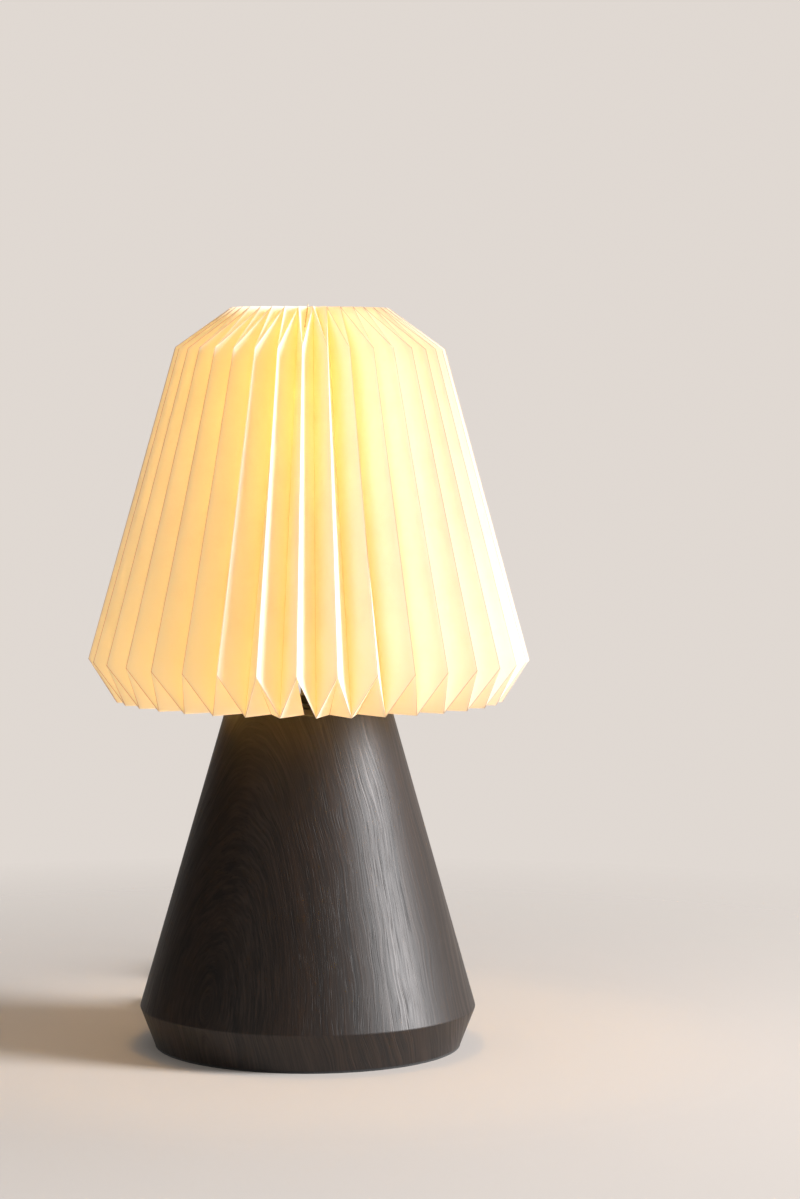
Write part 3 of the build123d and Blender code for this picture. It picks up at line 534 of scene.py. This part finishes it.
def polar(radius, azimuth, height):
    """Point at a radius and height; the azimuth is counted from the front, towards +X, in degrees."""
    angle = math.radians(azimuth)
    return Vector((radius * math.sin(angle), -radius * math.cos(angle), height))


def facing(normal, direction):
    """Unit normal, turned to the side that the direction is on."""
    return normal.normalized() * (1 if normal.dot(direction) > 0 else -1)


# Outer points of the front pleat: its fold's two ends, the valley's two ends and the tucks' middles
shoulder, corner = polar(SHOULDER[0], 0, SHOULDER[1]), polar(CORNER[0], 0, CORNER[1])
tip_top = polar(RIM_TOP_RADIUS, HALF_STEP, RIM_TOP)
tip_bottom = polar(RIM_BOTTOM_RADIUS, HALF_STEP, RIM_BOTTOM)
tuck_top, tuck_bottom = polar(TUCK_TOP_RADIUS, 0, RIM_TOP), polar(TUCK_BOTTOM_RADIUS, 0, RIM_BOTTOM)
side_normal = facing((tip_top - corner).cross(tip_bottom - shoulder), OUT)
top_normal = facing((tip_top - shoulder).cross(tuck_top - shoulder), UP)
bottom_normal = facing((tip_bottom - corner).cross(tuck_bottom - corner), DOWNWARDS)


def inset_fold(tuck_normal):
    """Step from a fold's outer point to its inner point, on the planes of side and tuck."""
    a, b = side_normal.dot(OUT), side_normal.z
    c, d = tuck_normal.dot(OUT), tuck_normal.z
    determinant = a * d - b * c
    return (OUT * (PAPER_THICKNESS * (b - d) / determinant)
            + UP * (PAPER_THICKNESS * (c - a) / determinant))


# Steps from the outer to the inner skin: vectors at the folds, radii at the rims
INSETS = {
    "shoulder": inset_fold(top_normal),
    "corner": inset_fold(bottom_normal),
    "tip": PAPER_THICKNESS / side_normal.dot(polar(1, HALF_STEP, 0)),
    "tuck_top": PAPER_THICKNESS / top_normal.dot(OUT),
    "tuck_bottom": PAPER_THICKNESS / bottom_normal.dot(OUT),
}
# Which points of the sheet a row of draws is for
AT_SHOULDER, AT_CORNER, AT_VALLEY, AT_TUCK = range(4)
uneven = [Vector([draw.uniform(-most, most) for most in OUT_OF_TRUE]) for _ in range(4 * PLEATS)]
bulges = [draw.uniform(*BULGE_SHARES) for _ in range(2 * PLEATS)]


def level_shift(row, pleat, share):
    """The draw for a point on a rim, kept level and made smaller."""
    away = uneven[row * PLEATS + pleat]
    return Vector((away.x, away.y, 0)) * share


def fold_pair(point, inset, pleat, row):
    """Outer and inner point of the paper at a fold's end, a little out of true as folded by hand."""
    turn = Matrix.Rotation(math.radians(pleat * 2 * HALF_STEP), 3, "Z")
    away = uneven[row * PLEATS + pleat]
    return [turn @ (point + away), turn @ (point + inset + away)]


def rim_pair(radius, inset, azimuth, height, away):
    """Outer and inner point of the paper on one of its rims."""
    return [polar(radius, azimuth, height) + away, polar(radius - inset, azimuth, height) + away]


def tips(pleat, side):
    """The valley's two ends beside a pleat, shared with the next pleat."""
    valley = (pleat if side > 0 else pleat - 1) % PLEATS
    azimuth = (2 * pleat + side) * HALF_STEP
    away = level_shift(AT_VALLEY, valley, VALLEY_SHARE)
    return (rim_pair(RIM_TOP_RADIUS, INSETS["tip"], azimuth, RIM_TOP, away),
            rim_pair(RIM_BOTTOM_RADIUS, INSETS["tip"], azimuth, RIM_BOTTOM, away))


def slit_pair(shift, tip):
    """Free end of a lower tuck beside the seam's slit."""
    outer = Vector((shift, -TUCK_BOTTOM_RADIUS, RIM_BOTTOM))
    normal = facing((outer - corner).cross(tip - corner), DOWNWARDS)
    level = Vector((normal.x, normal.y, 0))
    return [outer, outer - level * (PAPER_THICKNESS / level.dot(level))]


sheet = bmesh.new()
# Per point: the share of painted crease shade and of painted highlight on cut edges
crease_shade_layer = sheet.verts.layers.float.new("fold")
edge_highlight_layer = sheet.verts.layers.float.new("edge")


def patch(corners, across, down, bulge, crease_shade_at, edge_highlight_at, free_sides):
    """Both skins of one facet. corners are pairs of an outer and an inner point at (0, 0), (0, 1),
    (1, 0) and (1, 1) of across and down; free_sides names the sides that are cut edges of the sheet."""
    skins = []
    middle = (corners[0][0] + corners[3][0]) / 2
    normal = facing((corners[3][0] - corners[0][0]).cross(corners[2][0] - corners[1][0]),
                    Vector((middle.x, middle.y, 0)))
    for skin in (0, 1):
        grid = []
        for u in across:
            column = []
            for v in down:
                point = ((corners[0][skin] * (1 - v) + corners[1][skin] * v) * (1 - u)
                         + (corners[2][skin] * (1 - v) + corners[3][skin] * v) * u)
                point = point + normal * (bulge * math.sin(math.pi * u) * math.sin(math.pi * v))
                vertex = sheet.verts.new(point * MM)
                vertex[crease_shade_layer] = crease_shade_at(u, v)
                vertex[edge_highlight_layer] = edge_highlight_at(u, v)
                column.append(vertex)
            grid.append(column)
        for left, right in zip(grid, grid[1:]):
            for row in range(len(down) - 1):
                sheet.faces.new((left[row], left[row + 1], right[row + 1], right[row]))
        skins.append(grid)
    for side in free_sides:
        if side == "last_down":
            lines = [[column[-1] for column in grid] for grid in skins]
        else:
            lines = [grid[-1] for grid in skins]
        for index in range(len(lines[0]) - 1):
            sheet.faces.new((lines[0][index], lines[0][index + 1], lines[1][index + 1], lines[1][index]))


def side_crease_shade(u, v):
    """Share of painted crease shade on a pleat's side: its mountain fold and the folds to its tucks get
    more of it than its valley."""
    if u == 0.0 or v in (0.0, 1.0):
        return 1.0
    return VALLEY_CREASE_SHADE if u == 1.0 else 0.0


# Painted crease shade along a tuck's folds
def tuck_crease_shade(u, v):
    return 1.0 if u in (0.0, 1.0) or v == 0.0 else 0.0


# Painted highlight along a tuck's cut edge
def tuck_edge_highlight(u, v):
    return 1.0 if v == 1.0 else 0.0


# No painted highlight on a pleat's side
def no_edge_highlight(u, v):
    return 0.0


for pleat in range(PLEATS):
    azimuth = pleat * 2 * HALF_STEP
    shoulder_pair = fold_pair(shoulder, INSETS["shoulder"], pleat, AT_SHOULDER)
    corner_pair = fold_pair(corner, INSETS["corner"], pleat, AT_CORNER)
    away = level_shift(AT_TUCK, pleat, TUCK_SHARE)
    tuck_top_pair = rim_pair(TUCK_TOP_RADIUS, INSETS["tuck_top"], azimuth, RIM_TOP, away)
    tuck_bottom_pair = rim_pair(TUCK_BOTTOM_RADIUS, INSETS["tuck_bottom"], azimuth, RIM_BOTTOM, away)
    for side in (-1, 1):
        tip_top_pair, tip_bottom_pair = tips(pleat, side)
        lower = tuck_bottom_pair
        free = ("last_down",)
        if pleat == 0:
            lower = slit_pair(SLIT_SHIFTS[side], tip_bottom_pair[0])
            free = ("last_down", "last_across")
        patch((shoulder_pair, corner_pair, tip_top_pair, tip_bottom_pair), ACROSS, DOWN,
              FACET_BULGE * bulges[2 * pleat + (side > 0)], side_crease_shade, no_edge_highlight, ())
        patch((shoulder_pair, tip_top_pair, shoulder_pair, tuck_top_pair), TUCK_ACROSS, ACROSS,
              0.0, tuck_crease_shade, tuck_edge_highlight, ("last_down",))
        patch((corner_pair, tip_bottom_pair, corner_pair, lower), TUCK_ACROSS, ACROSS,
              0.0, tuck_crease_shade, tuck_edge_highlight, free)
bmesh.ops.remove_doubles(sheet, verts=sheet.verts, dist=WELD_DISTANCE)
bmesh.ops.dissolve_degenerate(sheet, edges=sheet.edges, dist=SHORTEST_EDGE)
bmesh.ops.recalc_face_normals(sheet, faces=sheet.faces)
for face in sheet.faces:
    face.smooth = True
for edge in sheet.edges:
    edge.smooth = len(edge.link_faces) == 2 and edge.calc_face_angle() < CREASE_ANGLE

folded_mesh = bpy.data.meshes.new("folded_paper")
sheet.to_mesh(folded_mesh)
sheet.free()
folded_mesh.materials.append(PAPER)
folded = new_object("folded_paper", folded_mesh)

# The thread's hole in the front upper tuck
punch_mesh = bpy.data.meshes.new("punch")
punch = bmesh.new()
bmesh.ops.create_cone(punch, cap_ends=True, segments=PUNCH_SIDES, radius1=HOLE_RADIUS * MM,
                      radius2=HOLE_RADIUS * MM, depth=PUNCH_DEPTH * MM)
punch.to_mesh(punch_mesh)
punch.free()
punch_mesh.materials.append(PAPER)
puncher = new_object("punch", punch_mesh)
puncher.matrix_world = (Matrix.Translation(shoulder.lerp(tuck_top, HOLE_SHARE) * MM)
                        @ top_normal.to_track_quat("Z", "Y").to_matrix().to_4x4())
cut = folded.modifiers.new("thread_hole", "BOOLEAN")
cut.object = puncher
bpy.context.view_layer.update()
punched = folded.evaluated_get(bpy.context.evaluated_depsgraph_get())
shade_mesh = bpy.data.meshes.new_from_object(punched)
for used in (folded, puncher):
    bpy.data.objects.remove(used)
shade = new_object("paper_shade", shade_mesh)
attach(shade, "shade")
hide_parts(*(f"shade_panel_{number}" for number in range(1, PANELS + 1)))

# ---------------------------------------------------------------- floor, light, view

# The floor fades into the backdrop between these distances from the lamp's axis
FLOOR_RADIUS = 3.0
FLOOR_FADE = (0.28, 0.8)
FLOOR_COLOUR = (0.68, 0.63, 0.59, 1.0)
floor_mesh = bpy.data.meshes.new("floor")
disc = bmesh.new()
bmesh.ops.create_circle(disc, cap_ends=True, segments=96, radius=FLOOR_RADIUS)
disc.to_mesh(floor_mesh)
disc.free()
floor = new_object("floor", floor_mesh)
floor_material, floor_tree = new_material("floor")
reach = compute_vector(floor_tree, "LENGTH", place(floor_tree))
fade = spread(floor_tree, reach, *FLOOR_FADE)
plain = add(floor_tree, "BsdfPrincipled", {
    "Base Color": FLOOR_COLOUR, "Roughness": 0.9, "Specular IOR Level": 0.1,
}).outputs[0]
clear = add(floor_tree, "BsdfTransparent").outputs[0]
finish_material(floor_tree, add(floor_tree, "MixShader", {0: fade, 1: plain, 2: clear}).outputs[0])
floor_mesh.materials.append(floor_material)

# The world is a plain backdrop to the camera, even light to matt surfaces, and to reflections a backdrop
# that gets darker towards the front left
BACKDROP_COLOUR = (0.745, 0.69, 0.645, 1.0)
AMBIENT_COLOUR, AMBIENT_STRENGTH = (1.0, 0.97, 0.93, 1.0), 0.32
DARKEST_REFLECTION = 0.08

world = bpy.data.worlds.new("studio")
scene.world = world
world.use_nodes = True
tree = world.node_tree
tree.nodes.clear()
seen = add(tree, "LightPath").outputs
direction = add(tree, "SeparateXYZ", {0: add(tree, "TexCoord").outputs["Generated"]}).outputs
aside = compute(tree, "ADD", direction[0], compute(tree, "MULTIPLY", direction[1], 0.5))
bright_side = spread(tree, aside, -0.5, 0.8, DARKEST_REFLECTION, 1.0)


def background(colour, strength):
    return add(tree, "Background", {"Color": colour, "Strength": strength}).outputs[0]


ambient = background(AMBIENT_COLOUR, AMBIENT_STRENGTH)
backdrop = background(BACKDROP_COLOUR, 1.0)
reflected = background(BACKDROP_COLOUR, bright_side)
lit = add(tree, "MixShader", {0: seen["Is Glossy Ray"], 1: ambient, 2: reflected}).outputs[0]
direct = compute(tree, "MAXIMUM", seen["Is Camera Ray"], seen["Is Transmission Ray"])
sky = add(tree, "MixShader", {0: direct, 1: lit, 2: backdrop}).outputs[0]
add(tree, "OutputWorld", {"Surface": sky})

AIM_HEIGHT = 0.25


def area_light(name, azimuth, distance, height, size, power, colour):
    """Soft light at an azimuth from the front, towards +X, aimed at the lamp's axis. Metres, degrees
    and watts."""
    data = bpy.data.lights.new(name, "AREA")
    data.shape = "RECTANGLE"
    data.size, data.size_y = size
    data.energy = power
    data.color = colour
    lamp = new_object(name, data)
    lamp.location = polar(distance, azimuth, height)
    aim = Vector((0, 0, AIM_HEIGHT)) - lamp.location
    lamp.rotation_euler = aim.to_track_quat("-Z", "Y").to_euler()


area_light("window", azimuth=77, distance=2.6, height=0.95, size=(0.8, 2.1), power=165,
           colour=(0.98, 0.98, 1.0))
area_light("fill", azimuth=-40, distance=2.6, height=1.1, size=(1.6, 1.6), power=3.0,
           colour=(1.0, 0.97, 0.94))

# The bulb's light starts just outside its globe, which would hold it back, and moves with the bulb
LIGHT_RADIUS = 0.0305
bulb_data = bpy.data.lights.new("bulb_light", "POINT")
bulb_data.energy = 0.24
bulb_data.color = (1.0, 0.58, 0.15)
bulb_data.use_soft_falloff = False
bulb_data.shadow_soft_size = LIGHT_RADIUS
bulb_light = new_object("bulb_light", bulb_data)
bulb_light.location = (0, 0, BULB_HEIGHT)
bulb_light.parent = nodes["bulb_globe"]
bulb_light.visible_camera = False

scene.view_settings.view_transform = "Standard"

bpy.context.view_layer.update()
